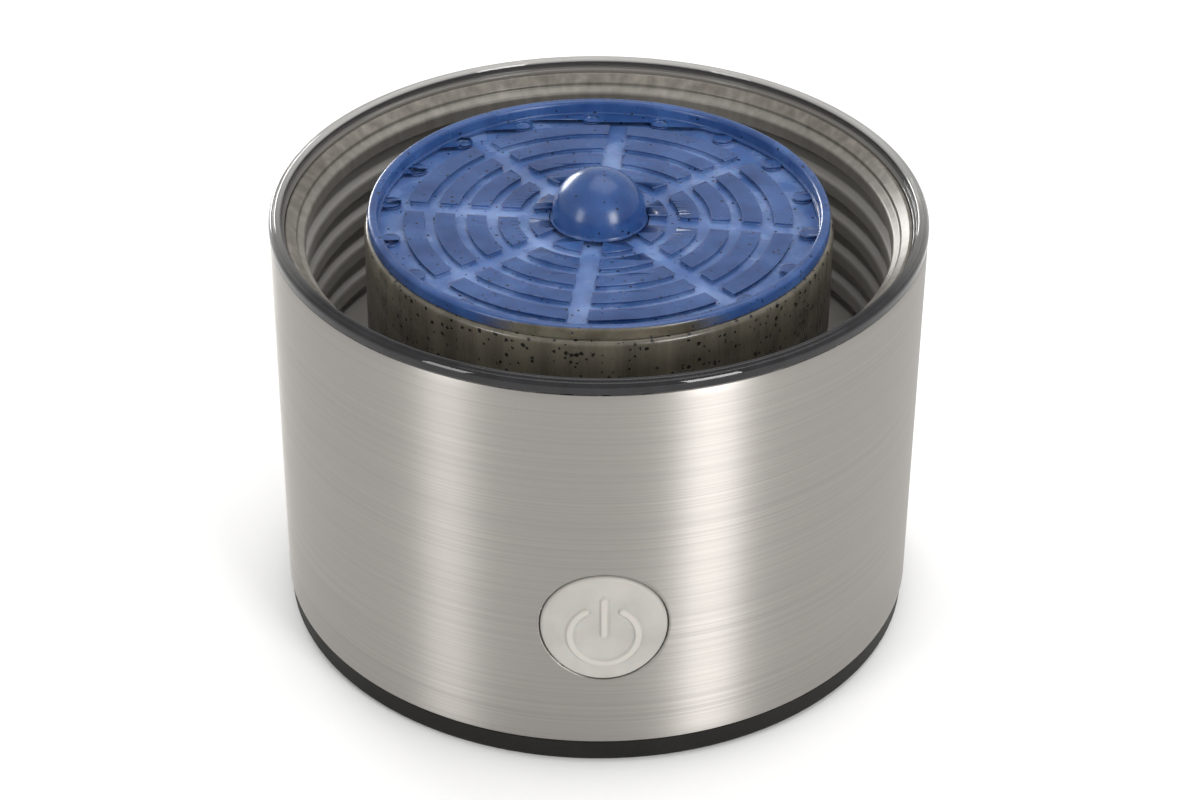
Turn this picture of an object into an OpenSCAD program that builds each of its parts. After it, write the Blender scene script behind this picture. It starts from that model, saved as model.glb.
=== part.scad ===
// Countertop vibratory rock tumbler: a steel-sleeved housing with a ribbed trough,
// and a drum with a slotted lid that shakes on springs over an unbalanced motor.
// Millimetres, +Z up. The origin is the middle of the footprint, on the surface it
// stands on, and the power button faces -Y.

/* [Housing] */
// Outer diameter of the steel sleeve
sleeve_d = 110; // [96:1:150]
// Wall of the steel sleeve
sleeve_t = 1; // [0.8:0.1:1.5]
// Height of the steel sleeve
sleeve_h = 68.1; // [58:0.1:100]
// Thickness of the base pan's floor
base_t = 4; // [2:0.1:5]
// How far the base pan's edge stands back from the sleeve
base_inset = 0.4; // [0:0.1:1]
// Open line between the base pan's edge and the sleeve
seam_gap = 0.4; // [0.2:0.1:1]
// Diameter of a rubber foot
foot_d = 12; // [8:0.5:16]
// How far the feet stand below the base pan
foot_proud = 0.5; // [0.3:0.1:2]
// Height of the clear lip above the sleeve
lip_h = 2.3; // [1.8:0.1:4]
// Width of the clear lip
lip_w = 2.1; // [1.6:0.1:3]

/* [Trough] */
// Height of the drive bay, from the base pan's floor to the trough's floor
bay_h = 35.4; // [33:0.2:45]
// Thickness of the trough's floor
trough_floor_t = 1.4; // [1:0.1:3]
// Distance from the sleeve's bore to the grooves of the ribbed wall
wall_inset = 3.5; // [3:0.1:6]
// How far a rib stands out of the ribbed wall
rib_depth = 1.4; // [0.6:0.1:2.5]
// Distance from rib to rib
rib_pitch = 6.2; // [5:0.1:9]
// Distance from the sleeve's top edge down to the first rib's lower edge
rib_drop = 5; // [4.6:0.1:9]
// Free width of the trough between the drum and the ribs
trough_w = 9.8; // [6:0.1:16]
// Radius of the hole in the trough's floor
neck_hole_r = 16; // [15:0.5:20]

/* [Drum and lid] */
// Wall of the drum
drum_t = 2; // [1.5:0.1:3]
// Thickness of the drum's floor
drum_floor_t = 2.2; // [1.8:0.1:4]
// Distance from the trough's floor up to the drum's floor
drum_gap = 4.2; // [4:0.1:8]
// How far the drum's skirt stays above the trough's floor
skirt_gap = 1.6; // [1.2:0.1:2.5]
// Thickness of the lid's plate
lid_t = 1.8; // [1.5:0.1:3]
// Height of the lid's rim above its plate
rim_h = 2.3; // [1.5:0.1:4]
// Width of the lid's rim
rim_w = 1.7; // [1.2:0.1:2.5]
// Radius of the lid's middle knob
knob_r = 7.9; // [6:0.1:8.2]
// Height of the knob's middle above the lid's plate
knob_lift = 0.8; // [0:0.1:1.5]
// Number of rings of slots
slot_rings = 5; // [2:1:5]
// Radius of the innermost ring of slots
slot_r0 = 10; // [10:0.1:12]
// Distance from ring to ring
slot_pitch = 5.25; // [4.5:0.05:5.5]
// Width of a slot
slot_w = 2.8; // [1.5:0.1:3]
// Depth of a slot, which is closed at the bottom
slot_depth = 0.7; // [0.6:0.1:1.2]
// Number of spokes between the slots
spokes = 8; // [4:1:12]
// Width of a spoke
spoke_w = 3.8; // [3:0.1:6]
// Number of dimples in the lid's border
dimples = 18; // [8:1:24]
// Radius of a dimple
dimple_r = 1.4; // [0.8:0.1:1.5]

/* [Button] */
// Diameter of the power button
button_d = 20.5; // [14:0.5:22]
// Gap around the button
button_gap = 0.3; // [0.2:0.05:0.6]
// Height of the button's middle above the base pan's floor
button_h = 24; // [18:0.5:25]
// How far the button's face stands out of the sleeve
button_proud = 0.35; // [0:0.05:1]
// Travel of the button
button_travel = 0.7; // [0.3:0.1:0.9]

/* [Drive] */
// Free length of a support spring
spring_l = 16; // [14:0.5:19]
// Mean radius of a support spring
spring_r = 3.5; // [3:0.1:4.5]
// Wire diameter of a support spring
wire_d = 0.9; // [0.6:0.1:1.2]
// Radius of the circle that the springs stand on
spring_circle_r = 26; // [24:0.5:28]
// Radius of the motor's can
motor_r = 12.2; // [10:0.1:12.5]
// Length of the motor, without its nose
motor_l = 12.5; // [11:0.5:13]
// Radius of the motor's shaft
shaft_r = 1; // [0.8:0.1:1.5]
// Radius of the unbalanced weight
weight_r = 9.8; // [7:0.1:10.2]
// Radius of the neck's bore
neck_r = 11.5; // [11:0.1:12]

/* [Power inlet] */
// Radius of the inlet's bore
jack_bore_r = 3; // [2.5:0.1:3.2]
// Height of the inlet's middle above the base pan's floor
jack_h = 12; // [12:0.5:16]

/* [Hidden] */
$fn = 96;
eps = 0.01;
slip = 0.1;             // a slip fit, each side
run_fit = 0.03;         // a shaft turning in its bush, each side

// heights, from the surface up
base_z = foot_proud + base_t;
sleeve_z0 = base_z + seam_gap;
sleeve_z1 = sleeve_z0 + sleeve_h;
lip_gap = 0.2;
lip_z0 = sleeve_z1 + lip_gap;
lip_z1 = sleeve_z1 + lip_h;
bay_z = base_z + bay_h;
floor_z = bay_z + trough_floor_t;
drum_z0 = floor_z + drum_gap;
rim_under = 0.3;                   // the lid's rim stays this far below the lip's top
lid_z = lip_z1 - rim_h - rim_under; // top of the lid's plate
plat_z = base_z + spring_l;        // underside of the drive platform
button_z = base_z + button_h;
jack_z = base_z + jack_h;

// radii, from the sleeve in
sleeve_r = sleeve_d / 2;
bore_r = sleeve_r - sleeve_t;
base_r = sleeve_r - base_inset;
groove_r = bore_r - wall_inset;
rib_r = groove_r - rib_depth;
liner_t = 1.2;
liner_r = groove_r + liner_t;
drum_r = rib_r - trough_w;
drum_in_r = drum_r - drum_t;
lid_r = drum_r - 0.6;
lid_skirt_r = drum_in_r - 0.2;
plate_r = lid_r - rim_w;
plat_r = 33;
plat_t = 2.5;

// lip and liner
lip_out_r = sleeve_r + 0.1;
lip_tongue_r = groove_r + 2;
lip_tongue_h = 3;
lip_crown = 0.6;
lip_edge = 0.5;
flange_drop = 6.5;      // from the sleeve's top to the underside of the liner's flange
ledge_drop = 3.2;       // and to the flange's top, which the lip's tongue hangs over
flange_slope = 2;
cone_r0 = groove_r + 1.4;
cone_r1 = groove_r + 1.9;
cone_drop = 1.2;        // the cone ends this far down
upstand_t = 1.4;
upstand_gap = 1.4;      // from the upstand's top to the drum
rib_rise = 3.3;         // a rib's slopes
rib_shoulder = 2.3;
rib_under = 0.5;
rib_z0 = sleeve_z1 - rib_drop;
rib_count = floor((rib_z0 - floor_z - 1) / rib_pitch) + 1;

// base pan
base_edge = 0.8;        // rounding of the bottom edge
top_edge = 0.2;         // chamfer of the top edge
seat_inset = 0.6;       // from the sleeve's outside to the ledge that it stands on
spigot_t = 2;
spigot_h = 6;
boss_h = 2;
boss_t = 0.8;           // wall of a boss round what stands in it
foot_depth = 1.5;
foot_circle_r = sleeve_r - 11;
screw_circle_r = liner_r - 6.3;
screw_angles = [30, 150, 210, 330];
screw_r = 1.5;
screw_clear = 0.2;
screw_bite = 10;        // length of a screw in its pillar
screw_head_r = 2.8;
head_clear = 0.3;
head_z0 = foot_proud + 0.1;
head_z1 = head_z0 + 1.5;
cross_l = 3.2;          // the driver's cross in a screw head
cross_w = 0.7;
cross_depth = 0.8;
pillar_r = 3.4;
tap_end = 2;            // a pillar's hole goes this far past the screw's tip

// springs and platform
spring_count = 3;
post_r = spring_r - wire_d / 2 - 0.35;
post_h = 2.5;
cup_r = spring_r + wire_d / 2 + 0.85;
spring_turns = 6;
closed_turns = 0.75;
spring_steps = 12;      // rings in one turn of wire
wire_sides = 6;
neck_t = 1.5;
neck_top = bay_z - 2.4;
hub_r = neck_r + neck_t;
spigot_r = 8;
hub_spigot_h = 6;
hub_spigot_t = 2;
hub_top_t = 2.5;
hub_plug = 2.4;         // how deep the hub stands in the neck
drum_boss_t = 1.8;      // over the hub's spigot
spigot_room = 0.2;
dog_r = 1.5;
dog_h = 1.4;
dog_circle_r = hub_r - 2.3;
web_t = 1.5;            // the webs that stiffen the platform
web_h = 3.5;
web_count = 6;
web_end = plat_r - 4;

// motor
can_t = 0.8;
nose_r = 3;
nose_h = 1.5;
bush_r = 2;
motor_z0 = plat_z - motor_l;
endcap_t = 1;
motor_cup_t = 1.35;
motor_flange_r = motor_r + 5.8;
motor_screw_circle_r = motor_r + 3.6;
motor_screw_r = 1;
cup_flange_t = 2;       // flange of the cup that holds the motor
cup_floor_t = 1.2;
cup_lip = 2.7;          // the cup's floor reaches this far under the motor
endcap_plug = 1.2;      // how far the end cap stands in the can
terminal_x = 7;         // slots for the motor's terminals
terminal_w = 2;
terminal_t = 0.6;
magnet_t = 3;
magnet_gap = 4.8;       // between the two magnets
magnet_z0 = motor_z0 + 3;
magnet_z1 = plat_z - 1.6;
bush_h = 2.1;
bush_nose_l = 1.4;      // part of the upper bush that is inside the can
core_z0 = motor_z0 + 3.6;
core_z1 = plat_z - 2.4;
collar_h = 1;
core_web = 3.4;
motor_screw_head_h = 1.4;
motor_screw_bite = 1.9;
air_gap = 0.7;          // from the magnets to the armature
armature_slot = 1.6;
weight_z = plat_z + plat_t + 2.6; // clear of the webs' inner ends and the nose
weight_h = 8;
weight_hub_r = 4;
setscrew_r = 1;
shaft_top = neck_top - 3.4;

// lid, which lies turned a little against the housing
spoke_turn = -7.4;
dimple_turn = 11.1;

// button, bracket and board
button_r = button_d / 2;
flange_r = button_r + 0.75;
flange_back = bore_r - 2.4;
board_t = 1.6;
board_y = flange_back - 5;       // front face of the board, as a distance from the middle
board_w = 26;
board_z0 = button_z - 11;
board_z1 = bay_z - 0.8;
bracket_t = 2;
bracket_y = board_y - board_t - bracket_t;
bracket_foot = [36, 6, 2];
bracket_notch = 10;     // room behind the switch's legs
tact_size = 6;
tact_h = 3.3;
plunger_r = 1.6;
board_holes = [[-10.5, board_z0 + 2.5], [10.5, board_z0 + 2.5]];
bracket_holes = [-15.5, 15.5];
small_screw_r = 1;
small_head_r = 1.9;
small_head_h = 1.2;
small_bite = 1.4;       // how deep a bracket screw stands in the pan
board_screw_bite = 1.6;
tact_half = tact_size / 2;
chip_h = 1.4;           // what the parts on the board stand out of it
capacitor_r = 2.5;
capacitor_h = 3;
socket_h = 2.4;
symbol_r = 5.55;
symbol_w = 1.45;
symbol_drop = 1.2;
symbol_gap = 32;        // half the angle of the ring's opening
symbol_bar = [-0.5, 7.7];  // lower and upper end of the bar, from the ring's middle
symbol_proud = 0.45;

// inlet
jack_w = 9;
jack_body = [jack_w, 14, 10.5];
jack_nose_r = 3.9;
jack_front = bore_r - 1.5;       // face of the inlet's body
jack_end = sleeve_r - 0.2;
jack_depth = 9.5;
jack_under = 5;                  // from the bore's middle down to the body's underside
jack_over = jack_body[2] - jack_under;
jack_pin_r = 1;
jack_screw_r = 0.7;
jack_screw_head_r = 1.3;
cheek_t = 2.4;
clamp_t = 1.6;
clamp_inset = 4;                 // from the body's ends to the clamp

// wires
wire_r = 0.6;
shrink_r = 0.9;
wire_circle = [plat_r + 2.6, plat_r + 4.8];
wire_z = base_z + 1.2;
wire_top = button_z - 3;
wire_end_a = 84;

// ---- shared shapes

module ring(r_out, r_in, z0, z1) {
    difference() {
        translate([0, 0, z0]) cylinder(r = r_out, h = z1 - z0);
        translate([0, 0, z0 - 1]) cylinder(r = r_in, h = z1 - z0 + 2);
    }
}

module rod(r, z0, z1) {
    translate([0, 0, z0]) cylinder(r = r, h = z1 - z0);
}

// a cylinder along Y, from y0 to y1
module rod_y(r, y0, y1) {
    translate([0, y0, 0]) rotate([-90, 0, 0]) cylinder(r = r, h = y1 - y0);
}

module box(x0, x1, y0, y1, z0, z1) {
    translate([x0, y0, z0]) cube([x1 - x0, y1 - y0, z1 - z0]);
}

module at(r, a) {
    rotate([0, 0, a]) translate([r, 0, 0]) children();
}

module at_screws() {
    for (a = screw_angles) at(screw_circle_r, a) children();
}

module at_feet() {
    for (a = [45, 135, 225, 315]) at(foot_circle_r, a) children();
}

module at_springs() {
    for (i = [0 : spring_count - 1]) at(spring_circle_r, 90 + i * 360 / spring_count) children();
}

module at_motor_screws() {
    for (i = [0 : 2]) at(motor_screw_circle_r, 30 + i * 120) children();
}

// points of an arc about c, for an outline
function arc(c, r, a0, a1, n) = [
    for (i = [0 : n]) c + r * [cos(a0 + (a1 - a0) * i / n), sin(a0 + (a1 - a0) * i / n)]
];

// ---- housing

module base_pan() {
    color("#3b3b39")
    difference() {
        union() {
            rotate_extrude() polygon(concat(
                [[0, base_z], [0, foot_proud], [base_r - base_edge, foot_proud]],
                arc([base_r - base_edge, foot_proud + base_edge], base_edge, -90, 0, 6),
                [[base_r, base_z - top_edge], [base_r - top_edge, base_z]]
            ));
            ring(sleeve_r - seat_inset, bore_r - slip - spigot_t, base_z - eps, sleeve_z0);
            ring(bore_r - slip, bore_r - slip - spigot_t, base_z - eps, sleeve_z0 + spigot_h);
            at_screws() rod(pillar_r + boss_t, base_z - eps, base_z + boss_h);
            at_springs() {
                rod(post_r, base_z - eps, base_z + post_h);
                ring(cup_r + boss_t, cup_r, base_z - eps, base_z + post_h);
            }
            jack_cradle();
        }
        at_feet() rod(foot_d / 2 + slip, -1, foot_proud + foot_depth);
        at_screws() {
            rod(screw_r + screw_clear, -1, base_z + boss_h + 1);
            rod(screw_head_r + head_clear, -1, head_z1);
        }
        for (x = bracket_holes)
            translate([x, -bracket_hole_y(), 0]) rod(small_screw_r, base_z - small_bite - slip, base_z + 1);
    }
}

// the bracket's screws stand in the middle of its foot
function bracket_hole_y() = bracket_y + bracket_foot[1] / 2 - 0.2;

module jack_cradle() {
    w = jack_w / 2 + slip;
    y0 = jack_front - jack_body[1] + 2;
    y1 = jack_front - 2;
    difference() {
        box(-w - cheek_t, w + cheek_t, y0, y1, base_z - eps, jack_z);
        box(-w, w, y0 - 1, y1 + 1, jack_z - jack_under, jack_z + 1);
        for (x = [-1, 1])
            translate([x * (w + cheek_t / 2), (y0 + y1) / 2, 0])
                rod(jack_screw_r, jack_z - jack_under, jack_z + 1);
    }
}

module rubber_feet() {
    color("#26262a") at_feet() rod(foot_d / 2, 0, foot_proud + foot_depth);
}

module base_screws() {
    color("#8f8f92")
    at_screws() difference() {
        union() {
            rod(screw_head_r, head_z0, head_z1);
            rod(screw_r, head_z1 - eps, base_z + boss_h + screw_bite);
        }
        for (a = [0, 90])
            rotate([0, 0, a])
                box(-cross_l / 2, cross_l / 2, -cross_w / 2, cross_w / 2, -1, head_z0 + cross_depth);
    }
}

module outer_sleeve() {
    color("#b4b0aa")
    difference() {
        ring(sleeve_r, bore_r, sleeve_z0, sleeve_z1);
        translate([0, 0, button_z]) rod_y(button_r + button_gap, -sleeve_r - 2, 0);
        translate([0, 0, jack_z]) rod_y(jack_nose_r + slip, 0, sleeve_r + 2);
    }
}

// The lip's outline: a tongue behind the sleeve, and a crowned edge over it
module clear_lip() {
    in_r = lip_out_r - lip_w;
    tongue_z = sleeve_z1 - lip_tongue_h;
    color("#a9a6ad", 0.6)
    rotate_extrude() polygon(concat(
        [[lip_tongue_r, tongue_z], [bore_r - slip, tongue_z], [bore_r - slip, lip_z0]],
        [[sleeve_r - lip_gap, lip_z0]],
        arc([lip_out_r - lip_edge, lip_z0 + lip_edge], lip_edge, -70, 30, 4),
        arc([in_r + lip_crown, lip_z1 - lip_crown], lip_crown, 62, 175, 7),
        [[lip_tongue_r, lip_z0]]
    ));
}

// Outline points of one rib, from its upper slope down to its lower edge
function rib(z) = [
    [groove_r, z + rib_rise], [rib_r + 0.15, z + rib_shoulder], [rib_r, z + 0.2],
    [rib_r + 0.1, z], [groove_r, z - rib_under]
];

module trough_liner() {
    cone_z = rib_z0 + rib_drop - cone_drop;
    flange_z0 = sleeve_z1 - flange_drop;
    ledge_z = sleeve_z1 - ledge_drop;
    upstand_z = drum_z0 - upstand_gap;
    color("#77736c")
    union() {
        rotate_extrude() polygon(concat(
            [[liner_r, bay_z], [liner_r, flange_z0 - flange_slope], [bore_r - slip, flange_z0]],
            [[bore_r - slip, ledge_z], [cone_r1, ledge_z], [cone_r1, sleeve_z1]],
            [[cone_r0, sleeve_z1], [groove_r, cone_z]],
            [for (i = [0 : rib_count - 1]) each rib(rib_z0 - i * rib_pitch)],
            [[groove_r, floor_z], [neck_hole_r + upstand_t, floor_z]],
            [[neck_hole_r + upstand_t, upstand_z], [neck_hole_r, upstand_z]],
            [[neck_hole_r, bay_z]]
        ));
        at_screws() difference() {
            rod(pillar_r, base_z + boss_h, bay_z + eps);
            rod(screw_r, base_z + boss_h - 1, base_z + boss_h + screw_bite + tap_end);
        }
    }
}

// ---- springs and shaking platform

// Height of the wire along the coil, with u from 0 to 1: the turns at each end are closed
function coil_z(u) = let (e = closed_turns / spring_turns, closed_h = closed_turns * wire_d)
    u < e ? u * spring_turns * wire_d :
    u > 1 - e ? spring_l - wire_d - (1 - u) * spring_turns * wire_d :
    closed_h + (u - e) / (1 - 2 * e) * (spring_l - wire_d - 2 * closed_h);

module coil() {
    n = spring_turns * spring_steps;
    w = wire_d / 2;
    pts = [
        for (i = [0 : n]) for (k = [0 : wire_sides - 1])
            let (t = i * 360 / spring_steps, a = k * 360 / wire_sides, r = spring_r + w * cos(a))
            [r * cos(t), r * sin(t), w + coil_z(i / n) + w * sin(a)]
    ];
    side = [
        for (i = [0 : n - 1]) for (k = [0 : wire_sides - 1])
            let (a = i * wire_sides + k, b = i * wire_sides + (k + 1) % wire_sides)
            [a, a + wire_sides, b + wire_sides, b]
    ];
    start = [for (k = [0 : wire_sides - 1]) k];
    end = [for (k = [wire_sides - 1 : -1 : 0]) n * wire_sides + k];
    polyhedron(points = pts, faces = concat(side, [start], [end]), convexity = 10);
}

module support_springs() {
    color("#9a9a98") at_springs() translate([0, 0, base_z]) coil();
}

module drive_platform() {
    color("#2f3034")
    difference() {
        union() {
            rod(plat_r, plat_z, plat_z + plat_t);
            ring(hub_r, neck_r, plat_z, neck_top);
            at_springs() rod(post_r, plat_z - post_h, plat_z + eps);
            for (i = [0 : web_count - 1]) rotate([0, 0, i * 360 / web_count])
                box(hub_r - 0.5, web_end, -web_t / 2, web_t / 2,
                    plat_z + plat_t - eps, plat_z + plat_t + web_h);
        }
        rod(nose_r + slip, plat_z - 1, plat_z + plat_t + 1);
        at_motor_screws() rod(motor_screw_r, plat_z - 1, plat_z + 2);
    }
}

// The hub closes the neck, carries the drum and drives it with a dog
module drive_hub() {
    color("#c9c6bd")
    difference() {
        union() {
            rod(neck_r, neck_top - hub_plug, neck_top + eps);
            rod(hub_r, neck_top, drum_z0);
            rod(spigot_r, drum_z0 - eps, drum_z0 + hub_spigot_h);
            translate([dog_circle_r, 0, 0]) rod(dog_r, drum_z0 - eps, drum_z0 + dog_h);
        }
        rod(spigot_r - hub_spigot_t, neck_top - hub_plug - 1, drum_z0 + hub_spigot_h - hub_top_t);
    }
}

// ---- motor

module motor_cup() {
    color("#34353a")
    difference() {
        union() {
            rod(motor_r + motor_cup_t, motor_z0 - cup_floor_t, plat_z);
            rod(motor_flange_r, plat_z - cup_flange_t, plat_z);
        }
        rod(motor_r + 0.05, motor_z0, plat_z + 1);
        rod(motor_r - cup_lip, motor_z0 - 2, plat_z + 1);
        at_motor_screws() rod(motor_screw_r + 0.1, plat_z - 3, plat_z + 1);
    }
}

module motor_screws() {
    color("#8f8f92")
    at_motor_screws() {
        rod(small_head_r, plat_z - cup_flange_t - motor_screw_head_h, plat_z - cup_flange_t);
        rod(motor_screw_r, plat_z - cup_flange_t - eps, plat_z + motor_screw_bite);
    }
}

module motor_can() {
    color("#b6b8bb")
    difference() {
        union() {
            rod(motor_r, motor_z0 + endcap_t, plat_z);
            rod(nose_r, plat_z - eps, plat_z + nose_h);
        }
        rod(motor_r - can_t, motor_z0, plat_z - 1);
        rod(bush_r, motor_z0, plat_z + nose_h + 1);
    }
}

module motor_endcap() {
    color("#e4dfd2")
    difference() {
        union() {
            rod(motor_r, motor_z0, motor_z0 + endcap_t);
            rod(motor_r - can_t, motor_z0 + endcap_t - eps, motor_z0 + endcap_t + endcap_plug);
        }
        rod(bush_r, motor_z0 - 1, motor_z0 + 4);
        for (side = [-1, 1]) translate([side * terminal_x, 0, 0])
            box(-terminal_w / 2, terminal_w / 2, -terminal_t / 2, terminal_t / 2,
                motor_z0 - 1, motor_z0 + 4);
    }
}

module motor_magnets() {
    color("#4a4644")
    difference() {
        ring(motor_r - can_t, motor_r - can_t - magnet_t, magnet_z0, magnet_z1);
        box(-motor_r, motor_r, -magnet_gap / 2, magnet_gap / 2, motor_z0, plat_z);
    }
}

module motor_bushes() {
    color("#b28a4a") {
        ring(bush_r, shaft_r + run_fit, motor_z0 + slip, motor_z0 + slip + bush_h);
        ring(bush_r, shaft_r + run_fit, plat_z - bush_nose_l, plat_z + nose_h);
    }
}

module motor_armature() {
    core_r = motor_r - can_t - magnet_t - air_gap;
    color("#8d5a35")
    difference() {
        union() {
            rod(core_r, core_z0, core_z1);
            rod(bush_r + 0.6, core_z0 - collar_h, core_z0 + eps);
        }
        rod(shaft_r, motor_z0, plat_z);
        for (i = [0 : 2]) rotate([0, 0, i * 120])
            box(core_r - core_web, core_r + 1, -armature_slot / 2, armature_slot / 2,
                core_z0, plat_z);
    }
}

module motor_shaft() {
    color("#c4c4c6") rod(shaft_r, motor_z0 + 0.3, shaft_top);
}

// A half disc of brass on a round hub: its pull to one side shakes the platform
module eccentric_weight() {
    color("#b08d4f")
    difference() {
        union() {
            intersection() {
                rod(weight_r, weight_z, weight_z + weight_h);
                box(-weight_r, weight_r, 0, weight_r, weight_z, weight_z + weight_h);
            }
            rod(weight_hub_r, weight_z + 1, weight_z + weight_h - 1);
        }
        rod(shaft_r, weight_z - 1, weight_z + weight_h + 1);
        translate([0, 0, weight_z + weight_h / 2]) rod_y(setscrew_r, -weight_hub_r - 1, 0);
    }
}

module weight_setscrew() {
    color("#5c5c60")
    translate([0, 0, weight_z + weight_h / 2]) difference() {
        rod_y(setscrew_r, -weight_hub_r, -shaft_r - 0.02);
        rotate([90, 30, 0]) translate([0, 0, 3]) cylinder(r = 0.55, h = 2, $fn = 6);
    }
}

// ---- drum and lid

module drum_cup() {
    shoulder = 1.1;
    skirt_z = floor_z + skirt_gap;
    boss_out = spigot_r + drum_floor_t;
    boss_top = drum_z0 + hub_spigot_h + drum_boss_t;
    color("#4a4537", 0.85)
    difference() {
        rotate_extrude() polygon(concat(
            [[0, drum_z0], [drum_in_r, drum_z0], [drum_in_r, skirt_z], [drum_r, skirt_z]],
            arc([drum_r - shoulder, lid_z - shoulder], shoulder, 0, 90, 6),
            [[drum_in_r, lid_z], [drum_in_r, drum_z0 + drum_floor_t]],
            [[boss_out, drum_z0 + drum_floor_t], [boss_out, boss_top], [0, boss_top]]
        ));
        rod(spigot_r + slip, drum_z0 - 1, drum_z0 + hub_spigot_h + spigot_room);
        translate([dog_circle_r, 0, 0]) rod(dog_r + slip, drum_z0 - 1, drum_z0 + dog_h + spigot_room);
    }
}

// The rim's outline, from its foot on the drum over its crown to the plate
module lid_rim() {
    crown = rim_w / 2;
    rotate_extrude() polygon(concat(
        [[plate_r - 1, lid_z - 1], [lid_skirt_r, lid_z - 1], [lid_skirt_r, lid_z], [lid_r, lid_z]],
        arc([lid_r - crown, lid_z + rim_h - crown], crown, 0, 180, 10),
        [[plate_r, lid_z], [plate_r - 1, lid_z]]
    ));
}

module lid_slots() {
    difference() {
        for (i = [0 : slot_rings - 1]) let (r = slot_r0 + i * slot_pitch)
            ring(r + slot_w / 2, r - slot_w / 2, lid_z - slot_depth, lid_z + 1);
        for (i = [0 : spokes - 1]) rotate([0, 0, spoke_turn + i * 360 / spokes])
            box(0, plate_r, -spoke_w / 2, spoke_w / 2, lid_z - lid_t - 2, lid_z + 2);
    }
}

module slotted_lid() {
    dimple_ring_r = plate_r - dimple_r - 0.1;
    knob_t = 1.6;
    skirt_t = 1.1;
    skirt_h = 3;
    color("#4f6a9f", 0.7)
    difference() {
        union() {
            difference() {
                rod(lid_skirt_r, lid_z - lid_t, lid_z);
                lid_slots();
            }
            lid_rim();
            ring(lid_skirt_r, lid_skirt_r - skirt_t, lid_z - lid_t - skirt_h, lid_z - lid_t + eps);
            intersection() {
                translate([0, 0, lid_z + knob_lift]) sphere(r = knob_r);
                rod(knob_r + 1, lid_z - eps, lid_z + knob_lift + knob_r + 1);
            }
        }
        for (i = [0 : dimples - 1]) at(dimple_ring_r, dimple_turn + i * 360 / dimples)
            translate([0, 0, lid_z + 0.2]) sphere(r = dimple_r + 0.02);
        intersection() {
            translate([0, 0, lid_z + knob_lift]) sphere(r = knob_r - knob_t);
            rod(knob_r, lid_z - lid_t - 1, lid_z + knob_lift + knob_r);
        }
    }
}

// ---- button, switch and board

// Standby mark: an open ring and a bar, drawn in the plane of the button's face
module standby_mark() {
    reach = 2 * symbol_r;
    translate([0, -symbol_drop]) {
        difference() {
            circle(r = symbol_r + symbol_w / 2);
            circle(r = symbol_r - symbol_w / 2);
            polygon([
                [0, 0], reach * [-sin(symbol_gap), cos(symbol_gap)],
                reach * [sin(symbol_gap), cos(symbol_gap)]
            ]);
        }
        translate([-symbol_w / 2, symbol_bar[0]]) square([symbol_w, symbol_bar[1] - symbol_bar[0]]);
    }
}

module power_button() {
    color("#cfcdc8")
    translate([0, 0, button_z]) {
        intersection() {
            rod_y(button_r, -sleeve_r - 2, -flange_back);
            rod(sleeve_r + button_proud, -button_r - 1, button_r + 1);
        }
        intersection() {
            rod_y(flange_r, -sleeve_r, -flange_back);
            rod(bore_r - 0.3, -flange_r - 1, flange_r + 1);
        }
        intersection() {
            translate([0, -flange_back, 0]) rotate([90, 0, 0])
                linear_extrude(height = sleeve_r + 2 - flange_back) standby_mark();
            rod(sleeve_r + button_proud + symbol_proud, -button_r, button_r);
        }
        rod_y(plunger_r + 0.4, -flange_back - eps, -flange_back + 1);
    }
}

module switch_plunger() {
    color("#2b2b2e")
    translate([0, 0, button_z]) rod_y(plunger_r, -flange_back + 1, -board_y - 1.6);
}

module tact_switch() {
    color("#8d8f92")
    translate([0, 0, button_z]) difference() {
        box(-tact_half, tact_half, -board_y - tact_h, -board_y, -tact_half, tact_half);
        rod_y(plunger_r + 0.05, -board_y - tact_h - 1, -board_y - 0.6);
    }
}

module control_board() {
    w = board_w / 2;
    color("#2f6b46")
    difference() {
        union() {
            box(-w, w, -board_y, -board_y + board_t, board_z0, board_z1);
            box(-10.5, -5.5, -board_y - chip_h, -board_y + eps, button_z - 1, button_z + 4);
            translate([7.5, 0, button_z + 2])
                rod_y(capacitor_r, -board_y - capacitor_h, -board_y + eps);
            box(4.8, 10.2, -board_y - socket_h, -board_y + eps, button_z - 6, button_z - 3);
        }
        for (p = board_holes)
            translate([p[0], 0, p[1]]) rod_y(small_screw_r + 0.1, -board_y - 1, -board_y + board_t + 1);
    }
}

module board_screws() {
    color("#8f8f92")
    for (p = board_holes) translate([p[0], 0, p[1]]) {
        rod_y(small_head_r, -board_y - small_head_h, -board_y);
        rod_y(small_screw_r, -board_y - eps, -board_y + board_t + board_screw_bite);
    }
}

module button_bracket() {
    w = board_w / 2;
    back = -bracket_y;
    color("#4a4b50")
    difference() {
        union() {
            box(-w, w, back - bracket_t, back, base_z, board_z1 - 1);
            box(-bracket_foot[0] / 2, bracket_foot[0] / 2, back + 1 - bracket_foot[1], back + 1,
                base_z, base_z + bracket_foot[2]);
        }
        box(-bracket_notch / 2, bracket_notch / 2, back - bracket_t - 1, back + 1,
            board_z0 + 5, board_z1);
        for (p = board_holes)
            translate([p[0], 0, p[1]]) rod_y(small_screw_r, -board_y, back + 1);
        for (x = bracket_holes)
            translate([x, -bracket_hole_y(), 0]) rod(small_screw_r + 0.1, 0, base_z + 5);
    }
}

module bracket_screws() {
    color("#8f8f92")
    for (x = bracket_holes) translate([x, -bracket_hole_y(), 0]) {
        rod(small_head_r, base_z + bracket_foot[2], base_z + bracket_foot[2] + small_head_h);
        rod(small_screw_r, base_z - small_bite, base_z + bracket_foot[2] + eps);
    }
}

// ---- power inlet

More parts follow.
